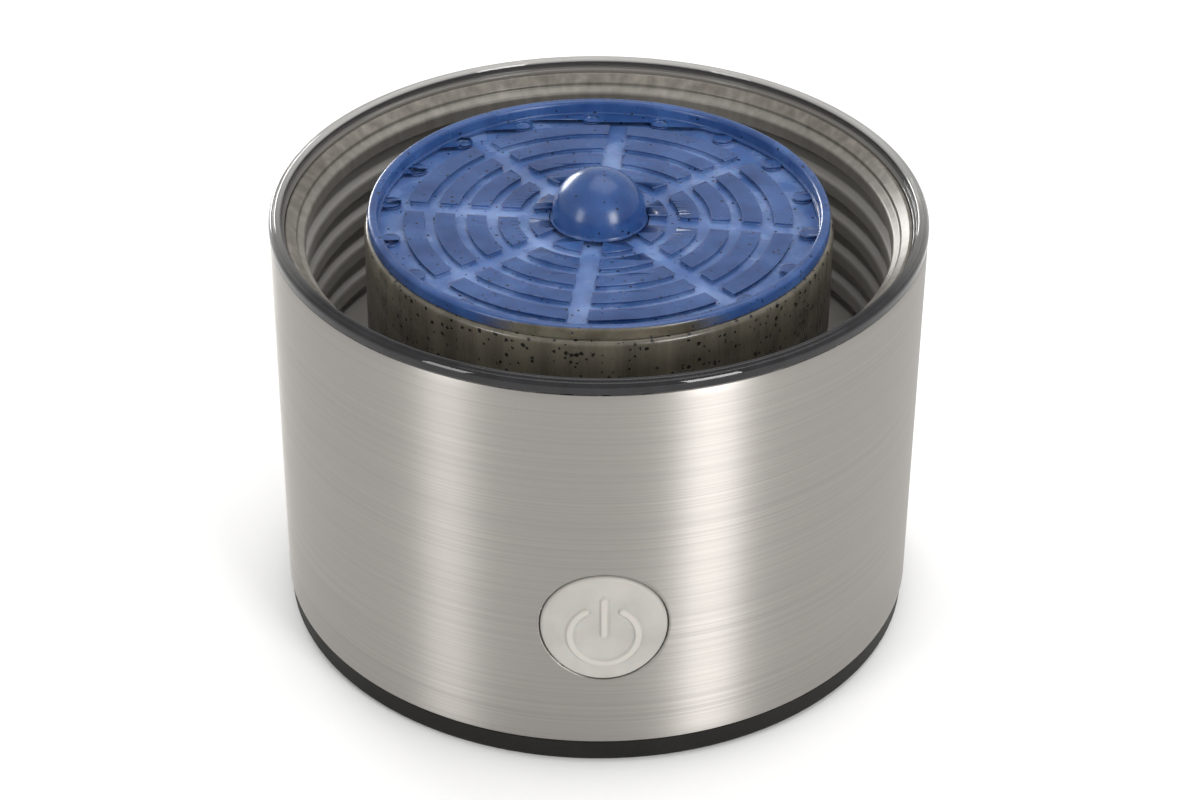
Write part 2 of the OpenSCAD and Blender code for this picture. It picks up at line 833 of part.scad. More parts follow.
module dc_jack() {
    color("#1f1f22")
    translate([0, 0, jack_z]) difference() {
        union() {
            box(-jack_w / 2, jack_w / 2, jack_front - jack_body[1], jack_front, -jack_under, jack_over);
            rod_y(jack_nose_r, jack_front - eps, jack_end);
        }
        rod_y(jack_bore_r, jack_end - jack_depth, jack_end + 1);
    }
}

module jack_contact() {
    color("#c9c2a4")
    translate([0, 0, jack_z]) rod_y(jack_pin_r, jack_end - jack_depth, jack_end - 0.8);
}

module jack_clamp() {
    w = jack_w / 2 + slip;
    y0 = jack_front - jack_body[1] + clamp_inset;
    y1 = jack_front - clamp_inset;
    color("#4a4b50")
    difference() {
        box(-w - cheek_t, w + cheek_t, y0, y1, jack_z, jack_z + jack_over + clamp_t);
        box(-w, w, y0 - 1, y1 + 1, jack_z - 1, jack_z + jack_over);
        for (x = [-1, 1]) translate([x * (w + cheek_t / 2), (y0 + y1) / 2, 0])
            rod(jack_screw_r + slip, jack_z - 1, jack_z + jack_over + clamp_t + 1);
    }
}

module jack_screws() {
    w = jack_w / 2 + slip;
    top = jack_z + jack_over + clamp_t;
    color("#8f8f92")
    for (x = [-1, 1]) translate([x * (w + cheek_t / 2), jack_front - jack_body[1] / 2, 0]) {
        rod(jack_screw_head_r, top, top + 0.9);
        rod(jack_screw_r, jack_z - jack_under + 1, top + eps);
    }
}

// Two cores from the inlet round the bay and up behind the board, with a shrink
// sleeve round each core where it rises; the inner core passes over the outer one
module power_wires() {
    color("#a8322a")
    for (i = [0, 1]) {
        r = wire_circle[i];
        jack_end_z = jack_z + [2, -2][i];
        board_end_z = wire_top + [2, -2][i];
        x = r * cos(wire_end_a);
        y = r * sin(wire_end_a);
        rotate([0, 0, -wire_end_a]) rotate_extrude(angle = 2 * wire_end_a)
            translate([r, wire_z]) circle(r = wire_r);
        at(r, wire_end_a) rod(shrink_r, wire_z - shrink_r, jack_end_z + shrink_r);
        at(r, -wire_end_a) rod(shrink_r, wire_z - shrink_r, board_end_z + shrink_r);
        translate([x, 0, jack_end_z]) rod_y(wire_r, y, jack_front - jack_body[1]);
        translate([x, 0, board_end_z]) rod_y(wire_r, -board_y + board_t, -y);
    }
}

base_pan();
rubber_feet();
base_screws();
outer_sleeve();
clear_lip();
trough_liner();
support_springs();
drive_platform();
drive_hub();
motor_cup();
motor_screws();
motor_can();
motor_endcap();
motor_magnets();
motor_bushes();
motor_armature();
motor_shaft();
eccentric_weight();
weight_setscrew();
drum_cup();
slotted_lid();
power_button();
switch_plunger();
tact_switch();
control_board();
board_screws();
button_bracket();
bracket_screws();
dc_jack();
jack_contact();
jack_clamp();
jack_screws();
power_wires();
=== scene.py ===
from math import asin, atan2, ceil, cos, hypot, pi, radians, sin, sqrt

import bmesh
import bpy
from mathutils import Matrix, Vector


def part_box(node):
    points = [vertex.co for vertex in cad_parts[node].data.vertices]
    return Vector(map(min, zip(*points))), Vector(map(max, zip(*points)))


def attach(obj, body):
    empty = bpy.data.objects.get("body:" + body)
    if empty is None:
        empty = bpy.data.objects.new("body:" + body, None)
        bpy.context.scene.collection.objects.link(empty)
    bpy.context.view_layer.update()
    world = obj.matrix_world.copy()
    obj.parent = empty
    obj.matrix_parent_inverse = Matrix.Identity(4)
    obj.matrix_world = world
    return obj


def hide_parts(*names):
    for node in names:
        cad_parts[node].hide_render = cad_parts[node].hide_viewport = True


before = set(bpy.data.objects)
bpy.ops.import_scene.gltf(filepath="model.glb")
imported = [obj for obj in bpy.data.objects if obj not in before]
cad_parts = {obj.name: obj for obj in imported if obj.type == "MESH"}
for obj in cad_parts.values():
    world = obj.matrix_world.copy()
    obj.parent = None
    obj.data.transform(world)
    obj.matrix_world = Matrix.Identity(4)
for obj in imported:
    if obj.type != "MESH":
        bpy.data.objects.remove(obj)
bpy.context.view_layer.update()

scene = bpy.context.scene
MM = 0.001


# ---- Camera, floor and studio light
# A long lens looks down on the housing's button side. The room is an even white one,
# with a soft box low at each side in front, one behind the left side and one overhead.

target = Vector((0.4, 0, 36.0)) * MM
view_distance = 525.7 * MM
view_azimuth = radians(-91.37)
view_elevation = radians(33.45)
view_roll = radians(0.418)


def from_target(azimuth, elevation, distance):
    """The place that lies that way and that far from the middle of the object."""
    level = cos(elevation)
    way = Vector((level * cos(azimuth), level * sin(azimuth), sin(elevation)))
    return target + way * distance


camera_data = bpy.data.cameras.new("camera")
camera_data.lens = 90.5
camera_data.sensor_width = 36
camera_data.dof.use_dof = False
camera = bpy.data.objects.new("camera", camera_data)
scene.collection.objects.link(camera)
camera.location = from_target(view_azimuth, view_elevation, view_distance)
facing = (target - camera.location).to_track_quat("-Z", "Y").to_matrix().to_4x4()
camera.matrix_world = Matrix.Translation(camera.location) @ facing @ Matrix.Rotation(view_roll, 4, "Z")
scene.camera = camera
scene.view_settings.view_transform = "Standard"


def srgb(code):
    """An sRGB hex colour as linear light, with an alpha of 1."""
    parts = [int(code[i:i + 2], 16) / 255 for i in (1, 3, 5)]
    linear = [p / 12.92 if p <= 0.04045 else ((p + 0.055) / 1.055) ** 2.4 for p in parts]
    return (*linear, 1.0)


def put(tree, kind, sockets=None, stops=None, **settings):
    """Adds one node: settings are its properties, sockets its inputs' values or links,
    and stops the colours of a ramp."""
    new = tree.nodes.new(kind)
    for name, value in settings.items():
        setattr(new, name, value)
    for name, value in (sockets or {}).items():
        if isinstance(value, bpy.types.NodeSocket):
            tree.links.new(value, new.inputs[name])
        else:
            new.inputs[name].default_value = value
    if stops:
        elements = new.color_ramp.elements
        while len(elements) < len(stops):
            elements.new(0.5)
        for element, (place, colour) in zip(elements, stops):
            element.position = place
            element.color = colour
    return new


def light(name, azimuth, elevation, distance, width, height, power):
    """A soft box that faces the object: angles in degrees, sizes in metres, power in watts."""
    data = bpy.data.lights.new(name, "AREA")
    data.shape = "RECTANGLE"
    data.size = width
    data.size_y = height
    data.energy = power
    lamp = bpy.data.objects.new(name, data)
    lamp.location = from_target(radians(azimuth), radians(elevation), distance)
    lamp.rotation_euler = (target - lamp.location).to_track_quat("-Z", "Y").to_euler()
    scene.collection.objects.link(lamp)


light("right_box", -55, 16, 1.1, 0.34, 0.5, 7.6)
light("left_box", -140, 16, 1.1, 0.28, 0.5, 3.3)
light("left_back_box", 118, 8, 1.2, 0.5, 0.3, 8)
light("overhead_box", 60, 74, 1.1, 0.9, 0.9, 5)

world = bpy.data.worlds.new("white_room")
world.use_nodes = True
world.node_tree.nodes["Background"].inputs["Color"].default_value = srgb("#ffffff")
world.node_tree.nodes["Background"].inputs["Strength"].default_value = 0.75
scene.world = world

floor_r = 6.0
floor_mesh = bpy.data.meshes.new("studio_floor")
floor_mesh.from_pydata(
    [(-floor_r, -floor_r, 0), (floor_r, -floor_r, 0), (floor_r, floor_r, 0), (-floor_r, floor_r, 0)],
    [], [(0, 1, 2, 3)])
studio_floor = bpy.data.objects.new("studio_floor", floor_mesh)
scene.collection.objects.link(studio_floor)
floor_paint = bpy.data.materials.new("white_floor_paint")
floor_paint.use_nodes = True
floor_paint.node_tree.nodes["Principled BSDF"].inputs["Base Color"].default_value = srgb("#f7f7f6")
floor_paint.node_tree.nodes["Principled BSDF"].inputs["Roughness"].default_value = 0.9
floor_mesh.materials.append(floor_paint)


# ---- Outer sleeve
# A band of brushed stainless steel, 1 mm thick, rolled and seamed, with a round hole in
# front for the button and one behind for the inlet. The brushing runs round it.

def span(node):
    """Lowest and highest corner of a CAD node, in millimetres."""
    low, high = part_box(node)
    return Vector(low) / MM, Vector(high) / MM


def stand_in(name, verts, faces):
    """A mesh object from points in millimetres, closed, smooth and facing out."""
    mesh = bpy.data.meshes.new(name)
    mesh.from_pydata([Vector(v) * MM for v in verts], [], faces)
    shell = bmesh.new()
    shell.from_mesh(mesh)
    bmesh.ops.remove_doubles(shell, verts=shell.verts, dist=1e-7)
    bmesh.ops.recalc_face_normals(shell, faces=shell.faces)
    shell.to_mesh(mesh)
    shell.free()
    mesh.shade_smooth()
    obj = bpy.data.objects.new(name, mesh)
    scene.collection.objects.link(obj)
    return obj


def fit(obj, node, body, finish):
    """Gives a piece its finish and puts it in the place of a CAD node."""
    obj.data.materials.clear()
    obj.data.materials.append(finish)
    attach(obj, body)
    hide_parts(node)


def start_finish(name, **values):
    """A new material, its node tree and its surface shader with the values given."""
    made = bpy.data.materials.new(name)
    made.use_nodes = True
    surface = made.node_tree.nodes["Principled BSDF"]
    for socket, value in values.items():
        surface.inputs[socket.replace("_", " ")].default_value = value
    return made, made.node_tree, surface


sleeve_low, sleeve_high = span("outer_sleeve")
sleeve_r = sleeve_high.x
sleeve_t = 1.0
sleeve_z0, sleeve_z1 = sleeve_low.z, sleeve_high.z
button_low, button_high = span("power_button")
jack_low = span("dc_jack")[0]
button_z = (button_low.z + button_high.z) / 2
button_r, button_gap = 10.25, 0.3
button_hole_r = button_r + button_gap
jack_axis_h, jack_hole_r = 5, 4.0
jack_z = jack_low.z + jack_axis_h


def spread(z0, z1, step):
    """Even heights from z0 up to z1, not more than a step apart."""
    count = ceil((z1 - z0) / step - 1e-6)
    return [z0 + (z1 - z0) * i / count for i in range(count)]


def pierced_band(radius, z0, z1, holes, columns=192):
    """A tube's wall as even four-sided faces. Each hole is (angle, height, radius): the
    faces round it run from a square window in the wall to the circle."""
    step = 2 * pi * radius / columns
    windows = []
    marks = {z0, z1}
    for angle, z, r in holes:
        half = ceil(r * 1.3 / step)
        windows.append((round(angle / (2 * pi) * columns), half, z, half * step, r))
        marks |= {z - half * step, z + half * step}
    marks = sorted(marks)
    levels = [z for low, high in zip(marks, marks[1:]) for z in spread(low, high, step)] + [z1]

    def place(s, z):
        a = s / radius
        return (radius * cos(a), radius * sin(a), z)

    verts = [place(i * step, z) for z in levels for i in range(columns)]
    faces = []
    for row in range(len(levels) - 1):
        middle = (levels[row] + levels[row + 1]) / 2
        for i in range(columns):
            inside = False
            for column, half, z, reach, r in windows:
                away = (i - column + columns // 2) % columns - columns // 2
                inside |= -half <= away < half and abs(middle - z) < reach
            if not inside:
                j = (i + 1) % columns
                a, b = row * columns, (row + 1) * columns
                faces.append((a + i, a + j, b + j, b + i))
    for column, half, z, reach, r in windows:
        rows = [k for k, level in enumerate(levels) if abs(level - z) < reach + 1e-6]
        edge = [(i, rows[0]) for i in range(-half, half)]
        edge += [(half, k) for k in rows[:-1]]
        edge += [(i, rows[-1]) for i in range(half, -half, -1)]
        edge += [(-half, k) for k in rows[:0:-1]]
        before = [k * columns + (column + i) % columns for i, k in edge]
        rings = 6
        for ring in range(1, rings + 1):
            share = 1 - (1 - ring / rings) ** 1.4
            now = []
            for i, k in edge:
                s, up = i * step, levels[k] - z
                turn = atan2(up, s)
                hole_s = radius * asin(r * cos(turn) / radius)
                now.append(len(verts))
                verts.append(place(column * step + s + (hole_s - s) * share,
                                   z + up + (r * sin(turn) - up) * share))
            for n in range(len(edge)):
                m = (n + 1) % len(edge)
                faces.append((before[n], before[m], now[m], now[n]))
            before = now
    return verts, faces


sleeve = stand_in("brushed_sleeve", *pierced_band(
    sleeve_r, sleeve_z0, sleeve_z1,
    [(1.5 * pi, button_z, button_hole_r), (0.5 * pi, jack_z, jack_hole_r)]))
# U runs up the wall and V round it, so the shader's tangent stands across the brushing
sleeve_map = sleeve.data.uv_layers.new(name="up_and_round")
once_round = 2 * pi * sleeve_r * MM
for loop in sleeve.data.loops:
    point = sleeve.data.vertices[loop.vertex_index].co
    sleeve_map.data[loop.index].uv = (point.z, atan2(point.y, point.x) * sleeve_r * MM)
for polygon in sleeve.data.polygons:
    rounds = [sleeve_map.data[k].uv.y for k in polygon.loop_indices]
    if max(rounds) - min(rounds) > once_round / 2:
        for k in polygon.loop_indices:
            if sleeve_map.data[k].uv.y < 0:
                sleeve_map.data[k].uv.y += once_round
wall = sleeve.modifiers.new("wall", "SOLIDIFY")
wall.thickness = sleeve_t * MM
wall.offset = -1
deburr = sleeve.modifiers.new("deburred_edges", "BEVEL")
deburr.width = 0.14 * MM
deburr.segments = 2
deburr.limit_method = "ANGLE"
deburr.angle_limit = radians(50)

# Brushed stainless steel: a satin metal whose fine lines throw each light into a
# band that runs up the wall. The lines are 0.3 mm apart and run about 110 mm, coarser
# than the real grit so that they show.
steel, tree, surface = start_finish("brushed_stainless_steel", Metallic=1.0, Anisotropic=0.95)
place = put(tree, "ShaderNodeTexCoord").outputs["Object"]
lines_at = put(tree, "ShaderNodeMapping", {"Vector": place, "Scale": (9, 9, 3300)}).outputs[0]
lines = put(tree, "ShaderNodeTexNoise", {"Vector": lines_at, "Scale": 1.0, "Detail": 3.0}).outputs[0]
haze_at = put(tree, "ShaderNodeMapping", {"Vector": place, "Scale": (5, 5, 700)}).outputs[0]
haze = put(tree, "ShaderNodeTexNoise", {"Vector": haze_at, "Scale": 1.0, "Detail": 4.0}).outputs[0]
tone = put(tree, "ShaderNodeMix", {"Factor": 0.12, "A": lines, "B": haze}).outputs[0]
colour = put(tree, "ShaderNodeValToRGB", {0: tone},
             stops=[(0.3, srgb("#9a9692")), (0.7, srgb("#a9a5a0"))]).outputs[0]
half_tone = put(tree, "ShaderNodeMapRange",
                {"Value": tone, "From Min": 0.35, "From Max": 0.65, "To Min": 0.4, "To Max": 0.46})
tree.links.new(colour, surface.inputs["Base Color"])
tree.links.new(half_tone.outputs[0], surface.inputs["Roughness"])
across = put(tree, "ShaderNodeTangent", direction_type="UV_MAP", uv_map="up_and_round")
tree.links.new(across.outputs[0], surface.inputs["Tangent"])
ridges = put(tree, "ShaderNodeBump", {"Height": lines, "Strength": 0.1, "Distance": 0.02 * MM})
tree.links.new(ridges.outputs[0], surface.inputs["Normal"])
fit(sleeve, "outer_sleeve", "housing", steel)


# ---- Base pan, feet and base screws
# The pan is moulded in black ABS with a fine spark-eroded grain. Four soft rubber feet
# are pressed into its underside, and four zinc-plated screws hold it to the liner.

def grained(name, dark, pale, grain, roughness, metallic=0.0, relief=0.02, streak=(1, 1, 1), shine=0.5):
    """A finish whose colour, gloss and surface vary with a grain of that size. Grain and
    relief are in millimetres, and streak stretches the grain along an axis."""
    made, tree, surface = start_finish(name, Metallic=metallic, Specular_IOR_Level=shine)
    at = put(tree, "ShaderNodeTexCoord").outputs["Object"]
    scaled = put(tree, "ShaderNodeMapping",
                 {"Vector": at, "Scale": [k / (grain * MM) for k in streak]}).outputs[0]
    fine = put(tree, "ShaderNodeTexNoise", {"Vector": scaled, "Scale": 1.0, "Detail": 4.0}).outputs[0]
    broad = put(tree, "ShaderNodeTexNoise", {"Vector": at, "Scale": 90.0, "Detail": 2.0}).outputs[0]
    both = put(tree, "ShaderNodeMath", {0: fine, 1: broad, 2: 0.25}, operation="MULTIPLY_ADD")
    colour = put(tree, "ShaderNodeValToRGB", {0: both.outputs[0]},
                 stops=[(0.38, srgb(dark)), (0.68, srgb(pale))])
    gloss = put(tree, "ShaderNodeMapRange", {
        "Value": both.outputs[0], "From Min": 0.35, "From Max": 0.7,
        "To Min": roughness * 0.85, "To Max": min(1.0, roughness * 1.2)})
    bump = put(tree, "ShaderNodeBump", {"Height": fine, "Strength": 0.5, "Distance": relief * MM})
    tree.links.new(colour.outputs[0], surface.inputs["Base Color"])
    tree.links.new(gloss.outputs[0], surface.inputs["Roughness"])
    tree.links.new(bump.outputs[0], surface.inputs["Normal"])
    return made


def dress(finish, *nodes):
    """Gives CAD nodes a finish."""
    for name in nodes:
        for material_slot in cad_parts[name].material_slots:
            material_slot.material = finish


dress(grained("black_abs_moulded", "#151413", "#1f1e1c", 0.45, 0.5, relief=0.02, shine=0.12), "base_pan")
dress(grained("black_rubber", "#1d1d20", "#2c2c30", 0.7, 0.75, relief=0.05), "rubber_feet")
zinc = grained("zinc_plated_steel", "#84858a", "#b3b3b1", 0.5, 0.34, metallic=1.0)
dress(zinc, "base_screws", "board_screws", "bracket_screws", "jack_screws", "motor_screws")


# ---- Clear lip
# A ring of clear polycarbonate, moulded with a tongue that drops between the sleeve and
# the liner. Its crown is rounded, so it draws thin bright lines over what is behind it.

def rounded(corners, steps=5):
    """An outline from corners of (radius, height, cut): a cut rounds the corner off with
    a smooth arc that starts that far before it."""
    outline = []
    for i, (r, z, cut) in enumerate(corners):
        here = Vector((r, z))
        if not cut:
            outline.append(here)
            continue
        start = here + (Vector(corners[i - 1][:2]) - here).normalized() * cut
        end = here + (Vector(corners[(i + 1) % len(corners)][:2]) - here).normalized() * cut
        for k in range(steps + 1):
            t = k / steps
            outline.append(start * (1 - t) ** 2 + here * 2 * t * (1 - t) + end * t * t)
    return outline


def turned(outline, steps=192):
    """Points and faces of a closed outline of (radius, height) turned round the axis."""
    verts, rings, faces = [], [], []
    for r, z in outline:
        count = steps if r > 1e-6 else 1
        rings.append([len(verts) + i for i in range(count)])
        verts += [(r * cos(2 * pi * i / steps), r * sin(2 * pi * i / steps), z) for i in range(count)]
    for a, b in zip(rings, rings[1:] + rings[:1]):
        for i in range(steps):
            corners = [a[i % len(a)], a[(i + 1) % len(a)], b[(i + 1) % len(b)], b[i % len(b)]]
            face = [v for k, v in enumerate(corners) if v != corners[k - 1]]
            if len(face) > 2:
                faces.append(face)
    return verts, faces


def keep_flats(obj):
    """Flat faces shade flat, and only the rounded edges between them shade round."""
    weighted = obj.modifiers.new("flats_stay_flat", "WEIGHTED_NORMAL")
    weighted.keep_sharp = True
    weighted.weight = 60


lip_low, lip_high = span("clear_lip")
lip_w = 2.1
lip_r = lip_high.x - 0.02
lip_in_r = lip_r - lip_w
lip_z1 = lip_high.z
lip_z0 = sleeve_z1 + 0.2
tongue_r = (lip_in_r - 0.5, lip_in_r + 0.9)
lip = stand_in("clear_lip_ring", *turned(rounded([
    (tongue_r[0], lip_low.z, 0.2), (tongue_r[1], lip_low.z, 0.2), (tongue_r[1], lip_z0, 0),
    (lip_r, lip_z0, 0.2), (lip_r, lip_z1 - 0.75, 0.45), (lip_r - 0.5, lip_z1 - 0.12, 0.3),
    (lip_r - 0.85, lip_z1 - 0.35, 0.12), (lip_r - 1.1, lip_z1, 0.2), (lip_in_r + 0.3, lip_z1, 0.3),
    (lip_in_r, lip_z1 - 0.6, 0.35), (lip_in_r + 0.05, lip_z0 + 0.5, 0.15),
    (tongue_r[0] - 0.05, lip_z0 + 0.3, 0.25), (tongue_r[0], lip_z0 - 0.3, 0.2),
]), 256))
keep_flats(lip)

# Clear polycarbonate: glassy and faintly smoky, with a few bubbles and scuffs. Towards the back
# pale bands are painted along its crown and its foot: painted light for the room and the liner seen
# through it.
clear, tree, surface = start_finish(
    "clear_polycarbonate", IOR=1.58, Transmission_Weight=0.35, Roughness=0.03, Specular_IOR_Level=0.22)
place = put(tree, "ShaderNodeTexCoord").outputs["Object"]
bubble = put(tree, "ShaderNodeTexVoronoi", {"Vector": place, "Scale": 170.0}).outputs["Distance"]
bubble_edge = put(tree, "ShaderNodeMapRange", {
    "Value": bubble, "From Min": 0.06, "From Max": 0.1, "To Min": 0.0, "To Max": 1.0}).outputs[0]
scuff = put(tree, "ShaderNodeTexNoise", {"Vector": place, "Scale": 420.0, "Detail": 5.0}).outputs[0]
tint = put(tree, "ShaderNodeValToRGB", {0: scuff},
           stops=[(0.35, srgb("#171619")), (0.7, srgb("#232225"))]).outputs[0]
parts = put(tree, "ShaderNodeSeparateXYZ", {0: place}).outputs
rise = put(tree, "ShaderNodeMapRange", {
    "Value": parts[2], "From Min": lip_z0 * MM, "From Max": lip_z1 * MM}).outputs[0]
# painted light: pale bands at the foot and the crown, darker between, as if lit through the clear ring
painted_see_through_light = put(tree, "ShaderNodeValToRGB", {0: rise}, stops=[
    (0.1, srgb("#8b8781")), (0.35, srgb("#4f4d4d")), (0.72, srgb("#3a393a")),
    (0.86, srgb("#c4c2be"))]).outputs[0]
# painted light is laid on by position: none in front, most at the back of the ring
painted_light_towards_back = put(tree, "ShaderNodeMapRange", {
    "Value": parts[1], "From Min": -30 * MM, "From Max": 25 * MM, "To Max": 0.9}).outputs[0]
lip_tint_with_painted_light = put(tree, "ShaderNodeMix", {"Factor": painted_light_towards_back, "A": tint, "B": painted_see_through_light},
          data_type="RGBA").outputs[2]
tree.links.new(lip_tint_with_painted_light, surface.inputs["Base Color"])
bump = put(tree, "ShaderNodeBump", {"Height": bubble_edge, "Strength": 0.2, "Distance": 0.02 * MM})
tree.links.new(bump.outputs[0], surface.inputs["Normal"])
fit(lip, "clear_lip", "housing", clear)


# ---- Trough liner
# A deep ring spun from thin aluminium, with a smooth cone at the top and five rolled
# ribs below it. Its floor is open in the middle, round a short upstand.

liner_low = span("trough_liner")[0]
pan_z, bay_h, floor_t, upstand_h = 4.5, 35.4, 1.4, 2.8
bay_z = pan_z + bay_h
floor_z = bay_z + floor_t
upstand_z = floor_z + upstand_h
groove_r, rib_r, liner_r = 50.5, 49.1, 51.7
collar_r, cone_top_r = groove_r + 1.9, groove_r + 1.4
flange_r = 53.9
flange_foot_z, flange_under_z, flange_top_z = sleeve_z1 - 8.5, sleeve_z1 - 6.5, sleeve_z1 - 3.2
neck_hole_r = 16.0
upstand_r = neck_hole_r + 1.4
rib_count, rib_pitch = 5, 6.2
rib_rise, rib_face, rib_under = 3.2, 2.3, 0.5
first_rib_z = sleeve_z1 - 5
cone_z = first_rib_z + 3.8
corners = [
    (liner_r, bay_z, 0.4), (liner_r, flange_foot_z, 0), (flange_r, flange_under_z, 0.3),
    (flange_r, flange_top_z, 0.3), (collar_r, flange_top_z, 0),
    (collar_r, sleeve_z1, 0.15), (cone_top_r, sleeve_z1, 0.15), (groove_r, cone_z, 0.25),
]
for i in range(rib_count):
    rib_z = first_rib_z - i * rib_pitch
    corners += [
        (groove_r, rib_z + rib_rise, 0.3), (rib_r + 0.1, rib_z + rib_face, 0.45),
        (rib_r, rib_z, 0.3), (groove_r, rib_z - rib_under, 0.2),
    ]
corners += [
    (groove_r, floor_z, 0.5), (upstand_r, floor_z, 0.3), (upstand_r, upstand_z, 0.3),
    (neck_hole_r, upstand_z, 0.3), (neck_hole_r, bay_z, 0.3),
]
liner_verts, liner_faces = turned(rounded(corners), 256)
pillar_ring_r, pillar_r, screw_hole_r = 45.4, 3.4, 1.5
pillar_z0, pillar_z1 = liner_low.z, bay_z + 0.5
screw_hole_z = pillar_z0 + 12
for angle in (30, 150, 210, 330):
    turn = radians(angle)
    at = Vector((pillar_ring_r * cos(turn), pillar_ring_r * sin(turn), 0))
    post_verts, post_faces = turned(rounded([
        (0, screw_hole_z, 0), (screw_hole_r, screw_hole_z, 0), (screw_hole_r, pillar_z0, 0.15),
        (pillar_r, pillar_z0, 0.3), (pillar_r, pillar_z1, 0), (0, pillar_z1, 0)]), 32)
    shift = len(liner_verts)
    liner_verts += [Vector(v) + at for v in post_verts]
    liner_faces += [[k + shift for k in face] for face in post_faces]
liner = stand_in("ribbed_liner", liner_verts, liner_faces)
keep_flats(liner)

# Spun aluminium, darkened by slurry: smooth and glossy, with faint streaks where water
# and grit ran down it. Below the cone it is painted paler: painted light on the shaded ribs.
spun, tree, surface = start_finish("spun_aluminium_stained", Metallic=0.2)
place = put(tree, "ShaderNodeTexCoord").outputs["Object"]
runs_at = put(tree, "ShaderNodeMapping", {"Vector": place, "Scale": (520, 520, 14)}).outputs[0]
runs = put(tree, "ShaderNodeTexNoise", {"Vector": runs_at, "Scale": 1.0, "Detail": 4.0}).outputs[0]
cloud = put(tree, "ShaderNodeTexNoise", {"Vector": place, "Scale": 45.0, "Detail": 3.0}).outputs[0]
both = put(tree, "ShaderNodeMix", {"Factor": 0.45, "A": runs, "B": cloud}).outputs[0]
colour = put(tree, "ShaderNodeValToRGB", {0: both}, stops=[
    (0.36, srgb("#59544c")), (0.5, srgb("#6e6961")), (0.64, srgb("#857f76"))]).outputs[0]
gloss = put(tree, "ShaderNodeMapRange", {
    "Value": both, "From Min": 0.3, "From Max": 0.7, "To Min": 0.3, "To Max": 0.42}).outputs[0]
height = put(tree, "ShaderNodeSeparateXYZ", {0: place}).outputs[2]
# painted light: the share of pale grey painted onto the ribs below the cone
low = put(tree, "ShaderNodeMapRange", {
    "Value": height, "From Min": (cone_z + 0.5) * MM, "From Max": (cone_z - 6) * MM,
    "To Max": 0.75}).outputs[0]
liner_colour_with_painted_light = put(tree, "ShaderNodeMix", {"Factor": low, "A": colour, "B": srgb("#b4b1ac")},
             data_type="RGBA").outputs[2]
tree.links.new(liner_colour_with_painted_light, surface.inputs["Base Color"])
tree.links.new(gloss, surface.inputs["Roughness"])
bump = put(tree, "ShaderNodeBump", {"Height": runs, "Strength": 0.15, "Distance": 0.03 * MM})
tree.links.new(bump.outputs[0], surface.inputs["Normal"])
fit(liner, "trough_liner", "housing", spun)


# ---- Drum
# A cup blow-moulded in smoky, olive-brown polycarbonate, polished inside and out, with
# black grit and tiny pits in its wall. It stands on the hub and lifts off.

drum_low, drum_high = span("drum_cup")
drum_r = drum_high.x
drum_in_r = drum_r - 2
drum_z0, lid_z = floor_z + 4.2, drum_high.z
drum_floor = 2.2
boss_r, boss_z = 10.3, drum_z0 + 7.8
spigot_r, spigot_z = 8.1, drum_z0 + 6.2
drum = stand_in("smoky_drum", *turned(rounded([
    (0, spigot_z, 0), (spigot_r, spigot_z, 0.3), (spigot_r, drum_z0, 0.3), (drum_in_r, drum_z0, 0.4),
    (drum_in_r, drum_low.z, 0.3), (drum_r, drum_low.z, 0.4), (drum_r, lid_z, 1.15),
    (drum_in_r, lid_z, 0.25), (drum_in_r, drum_z0 + drum_floor, 1.4),
    (boss_r, drum_z0 + drum_floor, 1.0), (boss_r, boss_z, 0.6), (0, boss_z, 0),
]), 256))
keep_flats(drum)


def specks(tree, at, spacing, largest):
    """1 on grit specks and 0 between them: one speck a cell, each of its own size, and
    ragged at the edge. Sizes are in millimetres."""
    ragged = put(tree, "ShaderNodeTexNoise", {"Vector": at, "Scale": 1500.0, "Detail": 2.0})
    cell = put(tree, "ShaderNodeTexVoronoi", {"Vector": at, "Scale": 1 / (spacing * MM)})
    chance = put(tree, "ShaderNodeSeparateColor", {0: cell.outputs["Color"]}).outputs[0]
    size = put(tree, "ShaderNodeMath", {0: chance, 1: 2.6}, operation="POWER").outputs[0]
    reach = put(tree, "ShaderNodeMath", {0: size, 1: largest / spacing}, operation="MULTIPLY").outputs[0]
    wobble = put(tree, "ShaderNodeMath", {0: ragged.outputs[0], 1: 1.6}, operation="MULTIPLY").outputs[0]
    limit = put(tree, "ShaderNodeMath", {0: reach, 1: wobble}, operation="MULTIPLY").outputs[0]
    return put(tree, "ShaderNodeMath", {0: cell.outputs["Distance"], 1: limit},
               operation="LESS_THAN").outputs[0]


# Smoky polycarbonate: glossy, olive brown, with long faint flow streaks down the wall
smoky, tree, surface = start_finish("smoky_polycarbonate", IOR=1.5, Coat_Weight=0.2, Coat_Roughness=0.05)
place = put(tree, "ShaderNodeTexCoord").outputs["Object"]
flow_at = put(tree, "ShaderNodeMapping", {"Vector": place, "Scale": (300, 300, 22)}).outputs[0]
flow = put(tree, "ShaderNodeTexNoise", {"Vector": flow_at, "Scale": 1.0, "Detail": 4.0}).outputs[0]
colour = put(tree, "ShaderNodeValToRGB", {0: flow}, stops=[
    (0.3, srgb("#4b473d")), (0.5, srgb("#5a554a")), (0.75, srgb("#6d6759"))]).outputs[0]
grit = specks(tree, place, 0.85, 0.5)
marked = put(tree, "ShaderNodeMix", {"Factor": grit, "A": colour, "B": srgb("#070706")},
             data_type="RGBA")
gloss = put(tree, "ShaderNodeMapRange", {
    "Value": flow, "From Min": 0.3, "From Max": 0.7, "To Min": 0.24, "To Max": 0.32}).outputs[0]
tree.links.new(marked.outputs[2], surface.inputs["Base Color"])
tree.links.new(gloss, surface.inputs["Roughness"])
bump = put(tree, "ShaderNodeBump", {"Height": grit, "Strength": 0.4, "Distance": 0.05 * MM})
